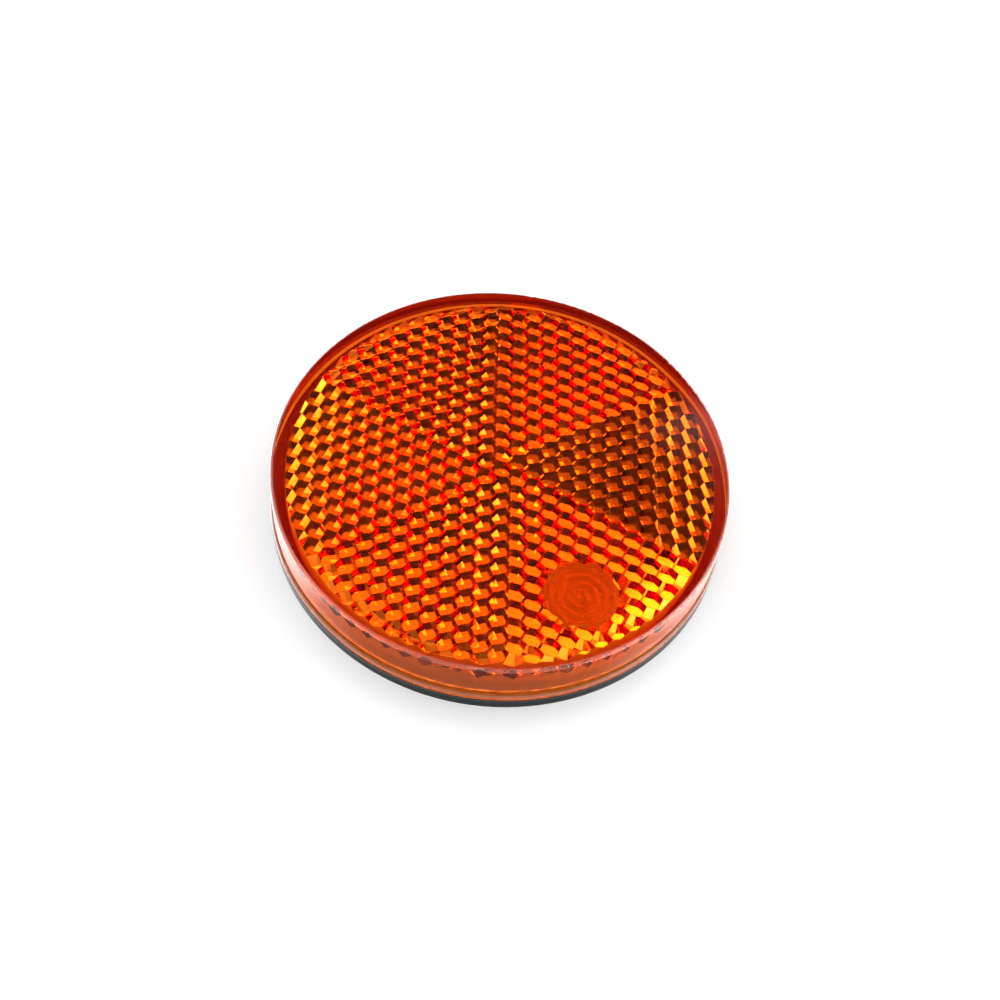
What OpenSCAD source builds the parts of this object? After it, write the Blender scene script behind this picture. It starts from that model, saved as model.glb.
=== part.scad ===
// Round push-in reflector: a one-piece amber lens with cube-corner prisms moulded on
// its rear, closed by a black back plate that carries a split push-in stud.
// The face looks along +Z, and z = 0 is the seating plane at the root of the stud.

/* [Lens] */
// Outer diameter of the lens
lens_d = 60; // [48:1:90]
// Height of the lens, from its foot on the back plate to the flat face
lens_h = 7.5; // [6.8:0.1:12]
// Radius round the rim of the face
face_edge_r = 0.5; // [0.2:0.05:1]
// Thickness of the clear wall round the prism field
lens_wall = 1.9; // [1.4:0.1:4]
// Clear plastic between the face and the valleys of the prisms
face_skin = 1.5; // [1:0.1:2.4]
// Height of the bead at the foot of the lens
bead_h = 1.2; // [0.8:0.1:1.8]
// How far the bead stands out from the wall
bead_out = 0.3; // [0.1:0.05:0.6]
// Height of the shadow groove over the bead
groove_h = 1.0; // [0.5:0.1:1.6]
// Depth of the shadow groove
groove_depth = 0.5; // [0.2:0.05:0.8]

/* [Prisms] */
// Distance between neighbouring cube corners
prism_pitch = 2.44; // [2.2:0.02:3.2]
// Direction of the first border between the six prism fields, in degrees
sector_turn = 35; // [0:1:60]
// Lean of the cube corners towards the rim in the first five fields, in degrees
prism_cant = 0; // [-9:0.5:9]
// Lean of the cube corners towards the rim in the sixth field, in degrees
side_cant = 6.5; // [-9:0.5:9]
// Width of the drafted step between neighbouring prisms, as a share of a prism
step_draft = 0.02; // [0.01:0.005:0.05]
// Diameter of the round pad in the prism field
pad_d = 9.2; // [4:0.1:12]
// Distance of the pad from the middle of the face
pad_place_r = 20.7; // [8:0.1:22]
// Direction of the pad from the middle of the face, in degrees
pad_turn = 305; // [0:1:360]
// How far the pad drops below the valleys of the prisms
pad_drop = 2; // [0.5:0.1:3]
// Number of plain V rings on the underside of the pad
pad_rings = 4; // [4:1:8]

/* [Back plate] */
// Thickness of the back plate at its rim
plate_t = 1.5; // [1.2:0.1:3]
// Height of the ring that centres the lens on the plate
ring_h = 1.4; // [0.8:0.1:2.4]
// Thickness of the centring ring
ring_t = 1.2; // [0.8:0.1:2]
// Gap between the centring ring and the lens wall
ring_gap = 0.15; // [0.05:0.05:0.4]
// Width of the flat seat round the rear rim
seat_w = 4; // [2:0.5:8]
// Depth of the rear recess inside the seat
recess_depth = 0.5; // [0.2:0.1:0.8]
// Diameter of the raised boss round the stud
boss_d = 14; // [12.5:0.5:24]

/* [Push-in stud] */
// Diameter of the stud
stud_d = 8; // [6:0.5:12]
// Length of the plain shank that fills the hole of the carrier
shank_len = 2.5; // [1.5:0.1:5]
// Number of gripping ribs past the shank
rib_count = 1; // [0:1:4]
// Length of each gripping rib
rib_len = 0.7; // [0.4:0.1:1.5]
// Width of the grooves before the ribs
rib_gap = 0.6; // [0.3:0.1:1]
// Depth of the grooves before the ribs
rib_depth = 0.5; // [0.2:0.1:1]
// Length of the tapered lead-in at the tip
tip_len = 1.2; // [0.5:0.1:3]
// How far the lead-in narrows the tip, on the radius
tip_taper = 1; // [0.3:0.1:2]
// Solid length between the shank and the slot in the tip
slot_root = 0.2; // [0.1:0.05:0.25]
// Width of the slot that lets the tip spring
slot_w = 1.2; // [0.6:0.1:2]
// Direction of the slot, in degrees
slot_turn = 35; // [0:1:180]

/* [Hidden] */
$fn = 144;
// Margin by which a cutting shape runs past what it cuts
past = 1;

lens_r = lens_d / 2;
rim_r = lens_r + bead_out;
field_r = lens_r - lens_wall;
face_z = plate_t + lens_h;
valley_z = face_z - face_skin;
stud_len = shank_len + rib_count * (rib_gap + rib_len) + tip_len;

// A cube corner seen along its axis: the hexagon round it has corners at hex_r, the
// three near corners lie one step over the tip, and the three far corners two.
hex_r = prism_pitch / sqrt(3);
step_h = prism_pitch / sqrt(6);
tip_z = valley_z - 2 * step_h;
edge_tilt = atan(1 / sqrt(2));

// Parts of a unit step along a side edge of a cube that leans by a: outward and up
function side_out(a) = sin(edge_tilt) * sin(a) - cos(edge_tilt) * cos(a) / 2;
function side_up(a) = sin(edge_tilt) * cos(a) + cos(edge_tilt) * sin(a) / 2;
side_len = hex_r / cos(edge_tilt);
// Where the tip sits, so that the three ridges still run through hexagon corners
function tip_shift(a) = -hex_r / 2 - side_len * side_out(a);
// Heights of the six hexagon corners over the tip, from the outer ridge round
function corner_heights(a) = let (
    out_x = hex_r - tip_shift(a),
    side_x = -hex_r / 2 - tip_shift(a),
    side_y = hex_r * sqrt(3) / 2,
    ridge_out_h = out_x * tan(edge_tilt - a),
    ridge_side_h = side_len * side_up(a),
    valley_in_h = (-hex_r - tip_shift(a)) * side_up(a) / side_out(a),
    // The two outer valleys lie on the planes through the outer and a side ridge
    slope_x = ridge_out_h / out_x,
    slope_y = (ridge_side_h - slope_x * side_x) / side_y,
    valley_side_h = slope_x * (hex_r / 2 - tip_shift(a)) + slope_y * side_y
) [ridge_out_h, valley_side_h, ridge_side_h, valley_in_h, ridge_side_h, valley_side_h];
function total(v, k = 0) = k < len(v) ? v[k] + total(v, k + 1) : 0;

// For each field: its lean, the shift of its tips, and its corner heights
FIELD_CANT = [each [for (k = [0:4]) prism_cant], side_cant];
TIP_SHIFT = [for (a = FIELD_CANT) tip_shift(a)];
CORNER_H = [for (a = FIELD_CANT) corner_heights(a)];
// Leaning tips move up or down so that each field keeps its middle height
TIP_Z = [for (h = CORNER_H) tip_z + 1.5 * step_h - total(h) / len(h)];

// Rings of prisms round the middle one, enough to pass the edge of the field
rings = ceil(field_r / (prism_pitch * cos(30)) + 0.5);
cell_count = 3 * rings * (rings + 1) + 1;
CELLS = [for (i = [-rings:rings], j = [-rings:rings]) if (abs(i + j) <= rings) [i, j]];
// Steps to the six neighbours of a cell on the triangular grid
STEPS = [[1, 0], [0, 1], [-1, 1], [-1, 0], [0, -1], [1, -1]];
// Each cell has six corner points and then a tip
CELL_POINTS = len(STEPS) + 1;

function wrap(k) = ((k % 6) + 6) % 6;
function turned(r, a) = [r * cos(a), r * sin(a)];
function grid_place(c) =
    c[0] * turned(prism_pitch, sector_turn) + c[1] * turned(prism_pitch, sector_turn + 60);
function in_grid(c) = abs(c[0]) <= rings && abs(c[1]) <= rings && abs(c[0] + c[1]) <= rings;

// Which of the six fields a cell belongs to, counted from the first border
function sector(c) = let (i = c[0], j = c[1])
    i >= 0 && j > 0 ? 0
    : i < 0 && i + j >= 0 ? 1
    : j >= 0 && i + j < 0 ? 2
    : i <= 0 && j < 0 ? 3
    : i > 0 && i + j <= 0 ? 4
    : i > 0 ? 5 : 0;

// The cells are listed row by row, and the rows grow and then shrink
function row_start(i) = let (m = i + rings)
    i <= 0 ? m * (rings + 1) + m * (m - 1) / 2
    : cell_count - (rings - i + 1) * (2 * rings + 1) + (rings * (rings + 1) - i * (i - 1)) / 2;
function cell_index(c) = row_start(c[0]) + c[1] - max(-rings, -rings - c[0]);
function point_index(c, m) = CELL_POINTS * cell_index(c) + wrap(m);
function tip_index(c) = CELL_POINTS * (cell_index(c) + 1) - 1;

function corner_point(c, tip, m) = let (
    k = sector(c),
    corner = grid_place(c) + turned(hex_r, sector_turn + 30 + 60 * m),
    flat = tip + (corner - tip) * (1 - step_draft)
) [flat[0], flat[1], TIP_Z[k] + CORNER_H[k][wrap(m - k)] * (1 - step_draft)];
function cell_points(c) = let (
    k = sector(c),
    tip = grid_place(c) + turned(TIP_SHIFT[k], sector_turn + 30 + 60 * k)
) [for (m = [0:5]) corner_point(c, tip, m), [tip[0], tip[1], TIP_Z[k]]];

// Three square faces meet at each tip, and each one ends in a valley corner
function cube_faces(c) = [for (m = [0:5]) if (wrap(m - sector(c)) % 2 == 1)
    [tip_index(c), point_index(c, m + 1), point_index(c, m), point_index(c, m - 1)]];
// Narrow drafted steps join a cell to its neighbours
function step_faces(c) = [for (n = [0:2]) let (d = c + STEPS[n]) if (in_grid(d)) each [
    [point_index(c, n), point_index(d, n + 2), point_index(d, n + 3)],
    [point_index(c, n), point_index(d, n + 3), point_index(c, n - 1)]]];
function corner_faces(c) = [for (m = [0:1]) let (d = c + STEPS[m], e = c + STEPS[m + 1])
    if (in_grid(d) && in_grid(e))
        [point_index(c, m), point_index(e, m + 4), point_index(d, m + 2)]];

// The outline of the field of cells, walked round its six sides
RIM = [for (k = [0:5], t = [0:rings - 1]) let (c = rings * STEPS[k] + t * STEPS[wrap(k + 2)])
    each [for (m = [(t == 0 ? k - 2 : k - 1):k + 1]) point_index(c, m)]];

// Shape that moulds the prisms: everything under the prism surface, down to floor_z
module prism_mould(floor_z) {
    top = [for (c = CELLS) each cell_points(c)];
    base = len(top);
    n = len(RIM);
    polyhedron(
        points = concat(top, [for (k = RIM) [top[k][0], top[k][1], floor_z]]),
        faces = concat(
            [for (c = CELLS) each concat(cube_faces(c), step_faces(c), corner_faces(c))],
            [for (q = [0:n - 1]) [RIM[q], RIM[(q + 1) % n], base + (q + 1) % n, base + q]],
            [[for (q = [0:n - 1]) base + q]]),
        convexity = 6);
}

module lens_outline() {
    difference() {
        union() {
            translate([0, plate_t]) square([lens_r, lens_h]);
            translate([0, plate_t]) square([rim_r - bead_h / 2, bead_h]);
            translate([rim_r - bead_h / 2, plate_t + bead_h / 2]) circle(d = bead_h, $fn = 32);
        }
        translate([lens_r - groove_depth, plate_t + bead_h]) square([groove_depth + past, groove_h]);
        translate([lens_r - face_edge_r, face_z - face_edge_r]) difference() {
            square(face_edge_r + past);
            circle(r = face_edge_r, $fn = 32);
        }
    }
}

module lens() {
    color([1, 0.42, 0.05, 0.9]) union() {
        difference() {
            rotate_extrude() lens_outline();
            intersection() {
                prism_mould(plate_t - past);
                cylinder(r = field_r, h = face_z);
            }
        }
        translate([each turned(pad_place_r, pad_turn), valley_z - pad_drop]) pad();
    }
}

module pad() {
    ring_w = pad_d / 2 / pad_rings;
    top_z = pad_drop + face_skin / 2;
    rotate_extrude() polygon(concat(
        [[0, top_z]],
        [for (k = [0:pad_rings - 1]) each [[k * ring_w, 0], [(k + 0.5) * ring_w, ring_w / 2]]],
        [[pad_d / 2, 0], [pad_d / 2, top_z]]));
}

module stud_outline() {
    foot_z = -stud_len;
    stud_r = stud_d / 2;
    difference() {
        polygon([[0, plate_t / 2], [stud_r, plate_t / 2], [stud_r, foot_z + tip_len],
            [stud_r - tip_taper, foot_z], [0, foot_z]]);
        for (k = [0:1:rib_count - 1])
            translate([stud_r - rib_depth, -shank_len - rib_gap - k * (rib_gap + rib_len)])
                square([rib_depth + past, rib_gap]);
    }
}

module back_plate() {
    ring_r = field_r - ring_gap;
    slot_len = stud_len - shank_len - slot_root;
    color([0.07, 0.08, 0.08]) difference() {
        union() {
            difference() {
                cylinder(r = rim_r, h = plate_t);
                translate([0, 0, -past]) difference() {
                    cylinder(r = rim_r - seat_w, h = recess_depth + past);
                    cylinder(d = boss_d, h = recess_depth + past);
                }
            }
            translate([0, 0, plate_t / 2]) difference() {
                cylinder(r = ring_r, h = plate_t / 2 + ring_h);
                translate([0, 0, -past]) cylinder(r = ring_r - ring_t, h = plate_t + ring_h + 2 * past);
            }
            rotate_extrude() stud_outline();
        }
        rotate([0, 0, slot_turn]) translate([-stud_d, -slot_w / 2, -stud_len - past])
            cube([2 * stud_d, slot_w, slot_len + past]);
    }
}

lens();
back_plate();
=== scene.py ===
import math

import bpy
from bpy.props import FloatProperty, FloatVectorProperty, PointerProperty
from mathutils import Matrix, Vector


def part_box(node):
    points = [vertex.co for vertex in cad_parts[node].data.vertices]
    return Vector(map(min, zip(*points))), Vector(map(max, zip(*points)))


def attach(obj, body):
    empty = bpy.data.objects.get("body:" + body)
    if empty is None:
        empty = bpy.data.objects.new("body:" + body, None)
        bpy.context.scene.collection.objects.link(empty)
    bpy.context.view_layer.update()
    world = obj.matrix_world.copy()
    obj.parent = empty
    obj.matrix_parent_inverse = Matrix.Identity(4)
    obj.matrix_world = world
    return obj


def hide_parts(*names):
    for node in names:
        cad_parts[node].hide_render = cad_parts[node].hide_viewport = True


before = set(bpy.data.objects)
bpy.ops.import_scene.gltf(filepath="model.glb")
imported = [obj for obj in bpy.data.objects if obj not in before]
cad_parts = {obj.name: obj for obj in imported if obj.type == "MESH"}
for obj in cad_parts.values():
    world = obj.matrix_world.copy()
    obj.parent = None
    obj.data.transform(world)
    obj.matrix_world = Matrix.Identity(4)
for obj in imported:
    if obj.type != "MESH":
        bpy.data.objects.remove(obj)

bl_info = {
    "name": "Push-in reflector",
    "version": (1, 0, 0),
    "blender": (4, 2, 0),
    "location": "3D View > Sidebar > Reflector",
    "description": "Dresses the packed reflector and sets its studio",
    "category": "Object",
}

MM = 0.001
DEG = math.pi / 180
BODY = "root"
# Vertices nearer than this are one vertex of a CAD node's loose triangles
MERGE = 0.001 * MM
# Faces that turn less than this are one flat face of the plate
FLAT = 0.1 * DEG
FLOOR_SIZE = 2000 * MM
# Width of a full-frame sensor, in the millimetres that Blender's camera takes
SENSOR_WIDTH = 36
CLIP_START = 10 * MM
# Light is thrown about many times inside the cube corners
BOUNCES = 64
# The card's side glow reaches its full strength at this many rim radii
GLOW_REACH = 1.5
# Where the tent's soft edges start and end, in parts of the direction looked in:
# how far back its open end is and how wide, and where the bright side panels begin and stand
TENT_END = (0.4, 0.3)
END_WIDTH = (0.2, 0.42)
PANEL_EDGE = (0.5, 0.9)
PANEL_FOOT = (0.25, 0.45)

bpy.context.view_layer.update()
LENS_LOW, LENS_HIGH = (Vector(corner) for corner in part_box("lens"))
PLATE_LOW, PLATE_HIGH = (Vector(corner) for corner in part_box("back_plate"))
# The face, the foot of the lens, the rim and the tip of the stud, from the frame
FACE_Z = LENS_HIGH.z
FOOT_Z = LENS_LOW.z
RIM_R = PLATE_HIGH.x
STUD_Z = PLATE_LOW.z


def hex_colour(code):
    """The linear colour of an sRGB hex code, with alpha 1."""
    values = [int(code[k:k + 2], 16) / 255 for k in (0, 2, 4)]
    linear = [v / 12.92 if v <= 0.04045 else ((v + 0.055) / 1.055) ** 2.4 for v in values]
    return (*linear, 1)


class ReflectorLensLook(bpy.types.PropertyGroup):
    amber: FloatVectorProperty(
        name="Amber", description="Light that the tinted acrylic lets through",
        subtype="COLOR", size=3, min=0, max=1, default=hex_colour("FED200")[:3])
    tint: FloatProperty(
        name="Tint", description="Strength of the tint for each metre of acrylic",
        min=0, default=900)
    satin_rough: FloatProperty(
        name="Satin", description="Roughness of the satin inner wall and foot",
        min=0, max=1, default=0.3)
    satin_share: FloatProperty(
        name="Scatter", description="Share of light that the satin faces scatter",
        min=0, max=1, default=0.28)
    satin_colour: FloatVectorProperty(
        name="Scatter colour", description="Colour of the light that they scatter",
        subtype="COLOR", size=3, min=0, max=1, default=hex_colour("FFEDAA")[:3])
    scatter_back: FloatProperty(
        name="Scatter back", description="Part of that light that is thrown back and not through",
        min=0, max=1, default=0.8)
    wall_band: FloatProperty(
        name="Wall band", description="How near the inner wall's radius a point is on the wall",
        subtype="DISTANCE", min=0, default=0.06 * MM)
    polished_depth: FloatProperty(
        name="Polished depth", description="Depth below the face down to which all is polished",
        subtype="DISTANCE", min=0, default=0.5 * MM)
    pad_reach: FloatProperty(
        name="Pad reach", description="Distance of the ringed pad's middle from the axis",
        subtype="DISTANCE", default=20.7 * MM)
    pad_turn: FloatProperty(
        name="Pad turn", description="Direction of the ringed pad's middle from the axis",
        subtype="ANGLE", default=305 * DEG)
    pad_r: FloatProperty(
        name="Pad radius", description="Radius round the ringed pad, which is left satin too",
        subtype="DISTANCE", default=4.65 * MM)
    pad_satin: FloatProperty(
        name="Pad satin", description="How many times more satin the pad is than the wall",
        min=0, default=2.0)
    foot_gap: FloatProperty(
        name="Foot gap", description="Air left between the foot of the lens and the plate",
        subtype="DISTANCE", min=0, default=0.02 * MM)
    crease: FloatProperty(
        name="Crease", description="Edges sharper than this angle stay crisp",
        subtype="ANGLE", default=20 * DEG)


class ReflectorPlateLook(bpy.types.PropertyGroup):
    edge: FloatProperty(
        name="Edge radius", description="Moulded radius along the plate's edges",
        subtype="DISTANCE", min=0, default=0.12 * MM)
    grain: FloatProperty(
        name="Grain", description="Width of one drawn grain of the spark-eroded surface",
        subtype="DISTANCE", min=0.01 * MM, default=0.25 * MM)
    grain_depth: FloatProperty(
        name="Grain depth", description="Depth of the grain",
        subtype="DISTANCE", min=0, default=0.02 * MM)
    grain_strength: FloatProperty(
        name="Grain strength", description="How clearly the grain shows",
        min=0, max=1, default=0.25)
    streak: FloatProperty(
        name="Streaks", description="Width of the flow streaks left by the moulding",
        subtype="DISTANCE", min=1 * MM, default=8 * MM)
    rough: FloatVectorProperty(
        name="Roughness", description="Least and most roughness along the streaks",
        size=2, min=0, max=1, default=(0.34, 0.5))
    edge_turn: FloatProperty(
        name="Edge angle", description="Edges sharper than this angle are rounded",
        subtype="ANGLE", default=40 * DEG)
    crease: FloatProperty(
        name="Crease", description="Edges sharper than this angle stay crisp",
        subtype="ANGLE", default=30 * DEG)


class ReflectorStage(bpy.types.PropertyGroup):
    lean_turn: FloatProperty(
        name="Raised side", description="Direction of the side that the stud holds up",
        subtype="ANGLE", default=245 * DEG)
    camera_height: FloatProperty(
        name="Camera elevation", description="Angle of the camera over the face",
        subtype="ANGLE", default=54.68 * DEG)
    camera_roll: FloatProperty(
        name="Camera roll", description="Turn of the camera about its own axis",
        subtype="ANGLE", default=7.52 * DEG)
    camera_distance: FloatProperty(
        name="Camera distance", description="Distance from the camera to the face",
        subtype="DISTANCE", default=180 * MM)
    picture_width: FloatProperty(
        name="Picture width", description="Width of the picture at the face",
        subtype="DISTANCE", default=130.2 * MM)
    shift: FloatVectorProperty(
        name="Shift", description="Camera shift, in picture widths",
        size=2, default=(-0.0025, -0.0361))
    stud_edge: FloatProperty(
        name="Stud edge", description="Distance from the stud's axis to the edge it rests on",
        subtype="DISTANCE", default=3 * MM)
    card_white: FloatProperty(
        name="Card", description="Share of light that the white card gives back",
        min=0, max=1, default=0.48)
    card_seen: FloatProperty(
        name="Card in picture", description="The same for the card that the camera sees",
        min=0, max=1, default=0.58)
    # Painted shade: reflections see the card this dark before the lens
    card_painted_shade: FloatProperty(
        name="Card in front", description="The same in reflections, for the part before the lens",
        min=0, max=1, default=0.1)
    # Painted light: the card glows at its sides though it is no lamp
    card_painted_glow: FloatProperty(
        name="Card glow", description="Light that the card gives off at the sides, hidden from the camera",
        min=0, default=5.0)
    key_distance: FloatProperty(
        name="Lamp distance", description="Distance of the lamp behind the camera",
        subtype="DISTANCE", default=200 * MM)
    key_size: FloatProperty(
        name="Lamp size", description="Diameter of the lamp behind the camera",
        subtype="DISTANCE", default=30 * MM)
    key_power: FloatProperty(
        name="Lamp power", description="Power of the lamp behind the camera",
        subtype="POWER", default=0.0178)
    sky: FloatProperty(
        name="Sky", description="Brightness of the light tent", min=0, default=2.0)
    sky_sides: FloatProperty(
        name="Sky sides", description="Extra brightness of the tent's sides",
        min=0, default=5.0)
    sky_gap: FloatProperty(
        name="Sky gap", description="Brightness of the gap that the flat face mirrors",
        min=0, default=0.03)
    sky_skew: FloatProperty(
        name="Sky skew", description="How much brighter the right side is than the left",
        min=0, max=1, default=0.45)


def add_node(tree, kind, settings=None, links=None):
    """Adds a node, sets its inputs or attributes, and links its inputs.

    An input whose name its node has more than once is given by its number.
    """
    node = tree.nodes.new(kind)
    for key, value in (settings or {}).items():
        if isinstance(key, int) or key in node.inputs:
            node.inputs[key].default_value = value
        else:
            setattr(node, key, value)
    for key, source in (links or {}).items():
        tree.links.new(source, node.inputs[key])
    return node


def new_material(name):
    """An empty node material and its tree."""
    material = bpy.data.materials.new(name)
    material.use_nodes = True
    material.node_tree.nodes.clear()
    return material, material.node_tree


def amber_acrylic(look, wall_r):
    """Injection-moulded acrylic, tinted through, so thick places are redder.

    The face and the prisms are polished; the wall's inside, the pad and the foot are satin.
    """
    material, tree = new_material("amber_acrylic_moulded")
    place = add_node(tree, "ShaderNodeTexCoord").outputs["Object"]
    height = add_node(tree, "ShaderNodeSeparateXYZ", links={0: place}).outputs["Z"]
    flat = add_node(tree, "ShaderNodeVectorMath", {"operation": "MULTIPLY", 1: (1, 1, 0)},
                    {0: place})
    radius = add_node(tree, "ShaderNodeVectorMath", {"operation": "LENGTH"},
                      {0: flat.outputs["Vector"]})
    wall = add_node(tree, "ShaderNodeMath", {
        "operation": "COMPARE", 1: wall_r, 2: look.wall_band}, {0: radius.outputs["Value"]})
    under = add_node(tree, "ShaderNodeMath", {
        "operation": "LESS_THAN", 1: FACE_Z - look.polished_depth}, {0: height})
    # The foot is lifted by one gap, so it lies under two
    foot = add_node(tree, "ShaderNodeMath", {
        "operation": "LESS_THAN", 1: FOOT_Z + 2 * look.foot_gap}, {0: height})
    pad_place = Matrix.Rotation(look.pad_turn, 3, "Z") @ Vector((look.pad_reach, 0, 0))
    pad_way = add_node(tree, "ShaderNodeVectorMath", {
        "operation": "SUBTRACT", 1: pad_place}, {0: flat.outputs["Vector"]})
    pad_away = add_node(tree, "ShaderNodeVectorMath", {"operation": "LENGTH"},
                        {0: pad_way.outputs["Vector"]})
    pad = add_node(tree, "ShaderNodeMath", {
        "operation": "LESS_THAN", 1: look.pad_r}, {0: pad_away.outputs["Value"]})
    pad_satin = add_node(tree, "ShaderNodeMath", {
        "operation": "MULTIPLY", 1: look.pad_satin}, {0: pad.outputs[0]})
    either = add_node(tree, "ShaderNodeMath", {"operation": "MAXIMUM"}, {
        0: wall.outputs[0], 1: pad_satin.outputs[0]})
    inside = add_node(tree, "ShaderNodeMath", {"operation": "MULTIPLY"}, {
        0: either.outputs[0], 1: under.outputs[0]})
    satin = add_node(tree, "ShaderNodeMath", {"operation": "MAXIMUM"}, {
        0: inside.outputs[0], 1: foot.outputs[0]}).outputs[0]
    rough = add_node(tree, "ShaderNodeMath", {
        "operation": "MULTIPLY", 1: look.satin_rough}, {0: satin})
    share = add_node(tree, "ShaderNodeMath", {
        "operation": "MULTIPLY", 1: look.satin_share}, {0: satin})
    clear = add_node(tree, "ShaderNodeBsdfPrincipled", {
        "Base Color": hex_colour("FFFFFF"), "IOR": 1.49, "Transmission Weight": 1.0},
        {"Roughness": rough.outputs[0]})
    through = add_node(tree, "ShaderNodeBsdfTranslucent", {"Color": (*look.satin_colour, 1)})
    back = add_node(tree, "ShaderNodeBsdfDiffuse", {"Color": (*look.satin_colour, 1)})
    scatter = add_node(tree, "ShaderNodeMixShader", {"Fac": look.scatter_back}, {
        1: through.outputs["BSDF"], 2: back.outputs["BSDF"]})
    surface = add_node(tree, "ShaderNodeMixShader", links={
        "Fac": share.outputs[0], 1: clear.outputs["BSDF"], 2: scatter.outputs["Shader"]})
    tint = add_node(tree, "ShaderNodeVolumeAbsorption", {
        "Color": (*look.amber, 1), "Density": look.tint})
    add_node(tree, "ShaderNodeOutputMaterial", links={
        "Surface": surface.outputs["Shader"], "Volume": tint.outputs["Volume"]})
    return material


def black_abs(look):
    """ABS from a spark-eroded mould: satin black with a fine even grain and soft flow streaks."""
    material, tree = new_material("black_abs_moulded")
    place = add_node(tree, "ShaderNodeTexCoord").outputs["Object"]
    # The real grain is finer, and is drawn coarser so that it shows
    grain = add_node(tree, "ShaderNodeTexNoise", {
        "Scale": 1 / look.grain, "Detail": 2.0}, {"Vector": place})
    streaks = add_node(tree, "ShaderNodeTexNoise", {
        "Scale": 1 / look.streak, "Detail": 3.0}, {"Vector": place})
    gloss = add_node(tree, "ShaderNodeMapRange", {
        "To Min": look.rough[0], "To Max": look.rough[1]}, {"Value": streaks.outputs["Fac"]})
    shade = add_node(tree, "ShaderNodeMix", {
        "data_type": "RGBA", 6: hex_colour("080C0D"), 7: hex_colour("0E1415")},
        {"Factor": streaks.outputs["Fac"]})
    bump = add_node(tree, "ShaderNodeBump", {
        "Strength": look.grain_strength, "Distance": look.grain_depth},
        {"Height": grain.outputs["Fac"]})
    body = add_node(tree, "ShaderNodeBsdfPrincipled", {"IOR": 1.53}, {
        "Base Color": shade.outputs[2], "Roughness": gloss.outputs["Result"],
        "Normal": bump.outputs["Normal"]})
    add_node(tree, "ShaderNodeOutputMaterial", links={"Surface": body.outputs["BSDF"]})
    return material


def select_only(piece):
    """Leaves this object selected and active, and nothing else."""
    bpy.ops.object.select_all(action="DESELECT")
    piece.select_set(True)
    bpy.context.view_layer.objects.active = piece


def merged_copy(node, name):
    """A copy of a CAD node whose loose triangles are one mesh, with normals outward."""
    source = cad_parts[node]
    select_only(source)
    bpy.ops.object.duplicate()
    piece = bpy.context.object
    piece.name = name
    piece.data.name = name
    bpy.ops.object.mode_set(mode="EDIT")
    bpy.ops.mesh.select_all(action="SELECT")
    bpy.ops.mesh.remove_doubles(threshold=MERGE)
    bpy.ops.mesh.customdata_custom_splitnormals_clear()
    bpy.ops.mesh.normals_make_consistent(inside=False)
    bpy.ops.object.mode_set(mode="OBJECT")
    return piece


def finish_piece(piece, material, crease):
    """Shades a piece, gives it its material and ties it to its body and slot."""
    select_only(piece)
    bpy.ops.object.shade_smooth_by_angle(angle=crease)
    piece.data.materials.clear()
    piece.data.materials.append(material)
    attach(piece, BODY)


class REFLECTOR_OT_lens(bpy.types.Operator):
    """Makes the amber lens from the CAD lens, its foot just clear of the plate"""
    bl_idname = "reflector.lens"
    bl_label = "Lens"

    def execute(self, context):
        look = context.scene.reflector_lens
        piece = merged_copy("lens", "lens_acrylic")
        foot = [vertex for vertex in piece.data.vertices if vertex.co.z < FOOT_Z + MERGE]
        wall_r = min(vertex.co.xy.length for vertex in foot)
        for vertex in foot:
            vertex.co.z += look.foot_gap
        finish_piece(piece, amber_acrylic(look, wall_r), look.crease)
        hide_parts("lens")
        return {"FINISHED"}


class REFLECTOR_OT_plate(bpy.types.Operator):
    """Makes the black back plate from the CAD plate, with its moulded edge radii"""
    bl_idname = "reflector.plate"
    bl_label = "Back plate"

    def execute(self, context):
        look = context.scene.reflector_plate
        piece = merged_copy("back_plate", "plate_abs")
        bpy.ops.object.mode_set(mode="EDIT")
        bpy.ops.mesh.select_all(action="SELECT")
        bpy.ops.mesh.dissolve_limited(angle_limit=FLAT)
        bpy.ops.object.mode_set(mode="OBJECT")
        bevel = piece.modifiers.new("moulded_edges", "BEVEL")
        bevel.width = look.edge
        bevel.segments = 2
        bevel.limit_method = "ANGLE"
        bevel.angle_limit = look.edge_turn
        bpy.ops.object.modifier_apply(modifier=bevel.name)
        finish_piece(piece, black_abs(look), look.crease)
        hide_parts("back_plate")
        return {"FINISHED"}


class REFLECTOR_OT_stage(bpy.types.Operator):
    """Makes the floor that the reflector leans on, the camera, the lamp and the light tent"""
    bl_idname = "reflector.stage"
    bl_label = "Stage"

    def execute(self, context):
        stage = context.scene.reflector_stage
        make_floor(stage)
        toward = make_camera(stage)
        make_light(context.scene, stage, toward)
        context.scene.view_settings.view_transform = "Standard"
        cycles = context.scene.cycles
        cycles.max_bounces = BOUNCES
        cycles.glossy_bounces = BOUNCES
        cycles.transmission_bounces = BOUNCES
        return {"FINISHED"}


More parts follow.
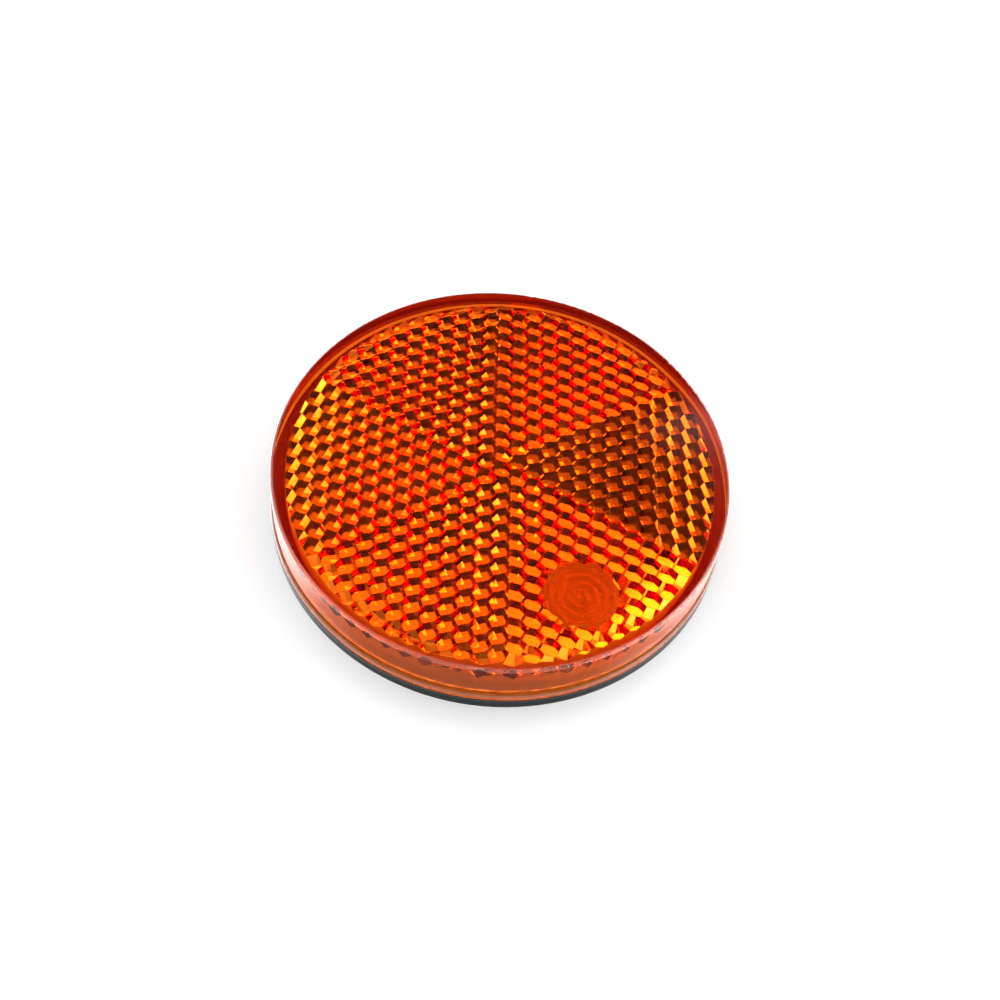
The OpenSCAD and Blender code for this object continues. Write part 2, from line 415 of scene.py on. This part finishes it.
def white_card(stage):
    """Matt white card with painted light. Reflections see painted shade on it, darker in front, and a
    painted glow, brighter at the sides.
    """
    material, tree = new_material("white_card_painted_light")
    seen = add_node(tree, "ShaderNodeLightPath").outputs["Is Camera Ray"]
    place = add_node(tree, "ShaderNodeTexCoord").outputs["Object"]
    axes = add_node(tree, "ShaderNodeSeparateXYZ", links={0: place})
    # Painted shade: reflections see the card darkest from one rim radius before the axis, fading out at
    # half a rim radius
    front = add_node(tree, "ShaderNodeMapRange", {
        "From Min": -RIM_R, "From Max": -RIM_R / 2,
        "To Min": stage.card_painted_shade, "To Max": stage.card_white}, {"Value": axes.outputs["Y"]})
    shown = add_node(tree, "ShaderNodeMix", {
        "data_type": "FLOAT", 3: stage.card_seen}, {0: seen, 2: front.outputs["Result"]})
    grey = add_node(tree, "ShaderNodeCombineColor", links={
        key: shown.outputs[0] for key in ("Red", "Green", "Blue")})
    across = add_node(tree, "ShaderNodeMath", {"operation": "ABSOLUTE"}, {
        0: axes.outputs["X"]})
    # Painted light: the card glows at its sides for every ray but the camera's
    side = add_node(tree, "ShaderNodeMapRange", {
        "From Min": RIM_R, "From Max": RIM_R * GLOW_REACH, "To Max": stage.card_painted_glow},
        {"Value": across.outputs[0]})
    glow = add_node(tree, "ShaderNodeMix", {"data_type": "FLOAT", 3: 0.0}, {
        0: seen, 2: side.outputs["Result"]})
    body = add_node(tree, "ShaderNodeBsdfPrincipled", {
        "Roughness": 0.9, "Specular IOR Level": 0.1, "Emission Color": hex_colour("FFFFFF")},
        {"Base Color": grey.outputs[0], "Emission Strength": glow.outputs[0]})
    add_node(tree, "ShaderNodeOutputMaterial", links={"Surface": body.outputs["BSDF"]})
    return material


def make_floor(stage):
    """A matt white card on which the stud's tip and the far rim rest."""
    raised = Vector((math.cos(stage.lean_turn), math.sin(stage.lean_turn), 0))
    lean = math.atan(-STUD_Z / (RIM_R - stage.stud_edge))
    normal = Vector((0, 0, math.cos(lean))) + raised * math.sin(lean)
    bpy.ops.object.select_all(action="DESELECT")
    bpy.ops.mesh.primitive_plane_add(
        size=FLOOR_SIZE, location=-raised * RIM_R,
        rotation=normal.to_track_quat("Z", "Y").to_euler())
    floor = bpy.context.object
    floor.name = "floor"
    bpy.ops.object.transform_apply()
    floor.data.materials.append(white_card(stage))


def make_camera(stage):
    """The camera at the photograph's angle; returns the direction from the face to it."""
    rise = stage.camera_height
    back = Vector((0, -math.cos(rise), math.sin(rise)))
    up = Vector((0, math.sin(rise), math.cos(rise)))
    right = Vector((1, 0, 0))
    across = right * math.cos(stage.camera_roll) + up * math.sin(stage.camera_roll)
    upward = up * math.cos(stage.camera_roll) - right * math.sin(stage.camera_roll)
    camera = bpy.data.cameras.new("camera")
    camera.sensor_width = SENSOR_WIDTH
    camera.lens = camera.sensor_width * stage.camera_distance / stage.picture_width
    camera.shift_x, camera.shift_y = stage.shift
    camera.clip_start = CLIP_START
    holder = bpy.data.objects.new("camera", camera)
    bpy.context.scene.collection.objects.link(holder)
    place = Matrix((across, upward, back)).transposed().to_4x4()
    place.translation = Vector((0, 0, FACE_Z)) + back * stage.camera_distance
    holder.matrix_world = place
    bpy.context.scene.camera = holder
    return back


def make_light(scene, stage, toward):
    """A small lamp behind the camera and a light tent with a dark gap beyond the object."""
    lamp = bpy.data.lights.new("camera_lamp", "AREA")
    lamp.shape = "DISK"
    lamp.size = stage.key_size
    lamp.energy = stage.key_power
    holder = bpy.data.objects.new("camera_lamp", lamp)
    scene.collection.objects.link(holder)
    holder.location = toward * stage.key_distance
    holder.rotation_euler = toward.to_track_quat("Z", "Y").to_euler()
    world = bpy.data.worlds.new("light_tent")
    scene.world = world
    world.use_nodes = True
    tree = world.node_tree
    tree.nodes.clear()
    way = add_node(tree, "ShaderNodeTexCoord").outputs["Generated"]
    axes = add_node(tree, "ShaderNodeSeparateXYZ", links={0: way})
    across = add_node(tree, "ShaderNodeMath", {"operation": "ABSOLUTE"}, {
        0: axes.outputs["X"]})
    # The tent is open at the back, from the horizon to above where the face mirrors
    near = add_node(tree, "ShaderNodeMapRange", {
        "interpolation_type": "SMOOTHSTEP", "From Min": TENT_END[0], "From Max": TENT_END[1]},
        {"Value": axes.outputs["Y"]})
    aside = add_node(tree, "ShaderNodeMapRange", {
        "interpolation_type": "SMOOTHSTEP", "From Min": END_WIDTH[0], "From Max": END_WIDTH[1]},
        {"Value": across.outputs[0]})
    closed = add_node(tree, "ShaderNodeMath", {"operation": "MAXIMUM"}, {
        0: near.outputs["Result"], 1: aside.outputs["Result"]})
    tent = add_node(tree, "ShaderNodeMapRange", {
        "To Min": stage.sky_gap, "To Max": stage.sky}, {"Value": closed.outputs[0]})
    side = add_node(tree, "ShaderNodeMapRange", {
        "interpolation_type": "SMOOTHSTEP", "From Min": PANEL_EDGE[0], "From Max": PANEL_EDGE[1],
        "To Max": stage.sky_sides}, {"Value": across.outputs[0]})
    above = add_node(tree, "ShaderNodeMapRange", {
        "interpolation_type": "SMOOTHSTEP", "From Min": PANEL_FOOT[0], "From Max": PANEL_FOOT[1]},
        {"Value": axes.outputs["Z"]})
    panels = add_node(tree, "ShaderNodeMath", {"operation": "MULTIPLY"}, {
        0: side.outputs["Result"], 1: above.outputs["Result"]})
    skew = add_node(tree, "ShaderNodeMath", {
        "operation": "MULTIPLY_ADD", 1: stage.sky_skew, 2: 1.0}, {0: axes.outputs["X"]})
    glow = add_node(tree, "ShaderNodeMath", {"operation": "MULTIPLY_ADD"}, {
        0: panels.outputs[0], 1: skew.outputs[0], 2: tent.outputs["Result"]})
    ambient = add_node(tree, "ShaderNodeBackground", {"Color": hex_colour("FFFFFF")},
                       {"Strength": glow.outputs[0]})
    white = add_node(tree, "ShaderNodeBackground", {"Color": hex_colour("FFFFFF")})
    seen = add_node(tree, "ShaderNodeLightPath").outputs["Is Camera Ray"]
    mixed = add_node(tree, "ShaderNodeMixShader", links={
        "Fac": seen, 1: ambient.outputs["Background"], 2: white.outputs["Background"]})
    add_node(tree, "ShaderNodeOutputWorld", links={"Surface": mixed.outputs["Shader"]})


class REFLECTOR_PT_panel(bpy.types.Panel):
    bl_label = "Push-in reflector"
    bl_space_type = "VIEW_3D"
    bl_region_type = "UI"
    bl_category = "Reflector"

    def draw(self, context):
        for group in (context.scene.reflector_lens, context.scene.reflector_plate,
                      context.scene.reflector_stage):
            box = self.layout.box()
            for key in group.__annotations__:
                box.prop(group, key)
        for operator in OPERATORS:
            self.layout.operator(operator.bl_idname)


GROUPS = {
    "reflector_lens": ReflectorLensLook,
    "reflector_plate": ReflectorPlateLook,
    "reflector_stage": ReflectorStage,
}
OPERATORS = (REFLECTOR_OT_lens, REFLECTOR_OT_plate, REFLECTOR_OT_stage)


def register():
    for key, group in GROUPS.items():
        bpy.utils.register_class(group)
        setattr(bpy.types.Scene, key, PointerProperty(type=group))
    for operator in OPERATORS:
        bpy.utils.register_class(operator)
    bpy.utils.register_class(REFLECTOR_PT_panel)


def unregister():
    bpy.utils.unregister_class(REFLECTOR_PT_panel)
    for operator in reversed(OPERATORS):
        bpy.utils.unregister_class(operator)
    for key, group in GROUPS.items():
        delattr(bpy.types.Scene, key)
        bpy.utils.unregister_class(group)


def main():
    register()
    bpy.ops.reflector.lens()
    bpy.ops.reflector.plate()
    bpy.ops.reflector.stage()


if __name__ == "__main__":
    main()
